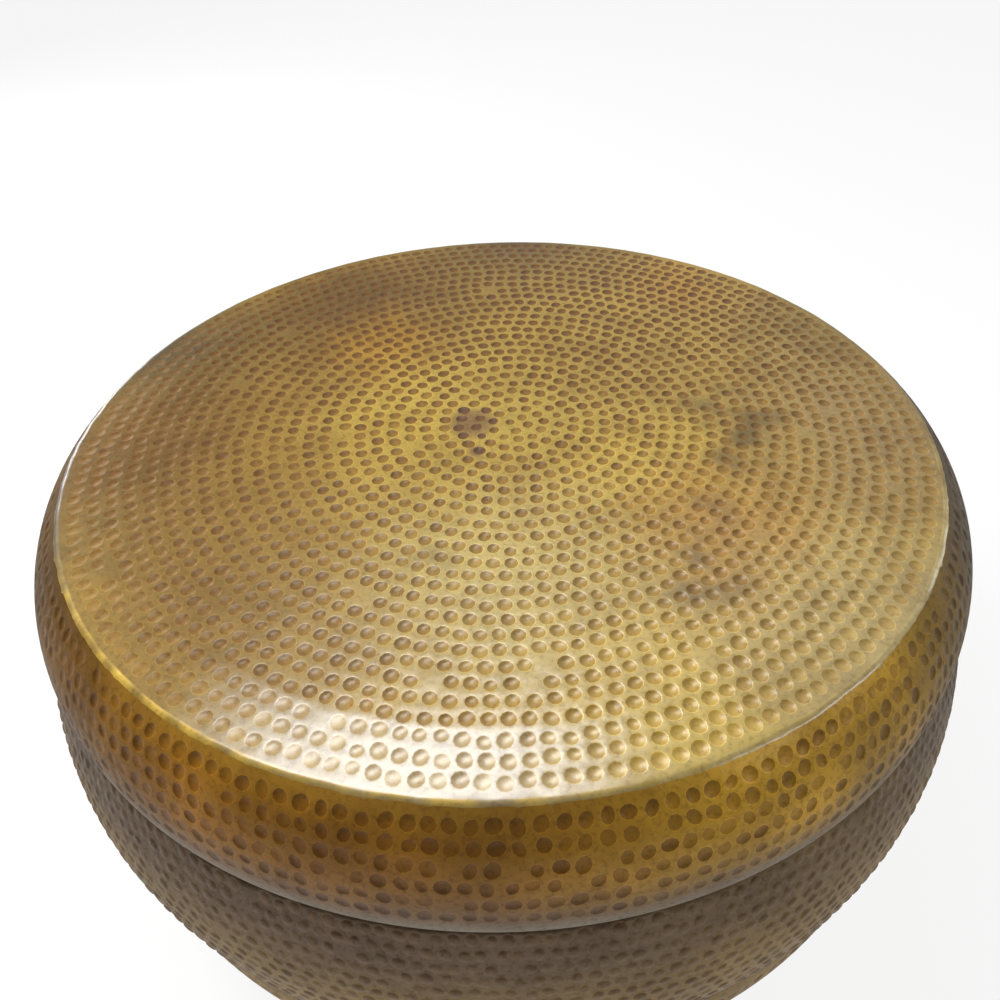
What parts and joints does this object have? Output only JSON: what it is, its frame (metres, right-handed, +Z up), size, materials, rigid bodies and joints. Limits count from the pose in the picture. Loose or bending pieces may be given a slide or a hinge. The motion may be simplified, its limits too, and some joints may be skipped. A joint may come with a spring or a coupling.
{
  "type": "drum coffee table",
  "caption": "Round drum coffee table of hammered antique brass sheet: flat dented top, flared shoulder, barrel wall with a crease near each end, on an inner frame with floor glides.",
  "frame": {"origin": "on the floor under the middle of the table", "axes": "+Z up through the middle of the round top; -Y towards the viewer of the picture; the wall's seam is at the back, on +Y"},
  "size_m": [0.9059, 0.9059, 0.406],
  "materials": {
    "hammered_brass": "hammered antique brass with brown patina in the dents, satin gloss",
    "plain_brass": "plain sheet, dull, brazed",
    "plywood": "raw birch plywood, clear sealed",
    "black_steel": "black powder coat, satin",
    "nylon": "dark moulded nylon, matte",
    "zinc_screw": "zinc plated"
  },
  "bodies": {
    "root": {"top_sheet": "hammered_brass", "shoulder_band": "hammered_brass", "drum_wall": "hammered_brass", "base_band": "hammered_brass", "wall_seam_strip": "plain_brass", "deck_board": "plywood", "base_segment_right": "plywood", "base_segment_back": "plywood", "base_segment_left": "plywood", "base_segment_front": "plywood", "cross_bar_long": "black_steel", "cross_bar_front": "black_steel", "cross_bar_back": "black_steel", "deck_screws": "zinc_screw", "flange_screws": "zinc_screw", "plate_screws": "zinc_screw", "glide_screws": "zinc_screw", "post_right": "black_steel", "foot_plate_right": "black_steel", "glide_right": "nylon", "post_back": "black_steel", "foot_plate_back": "black_steel", "glide_back": "nylon", "post_left": "black_steel", "foot_plate_left": "black_steel", "glide_left": "nylon", "post_front": "black_steel", "foot_plate_front": "black_steel", "glide_front": "nylon"}
  },
  "joints": []
}
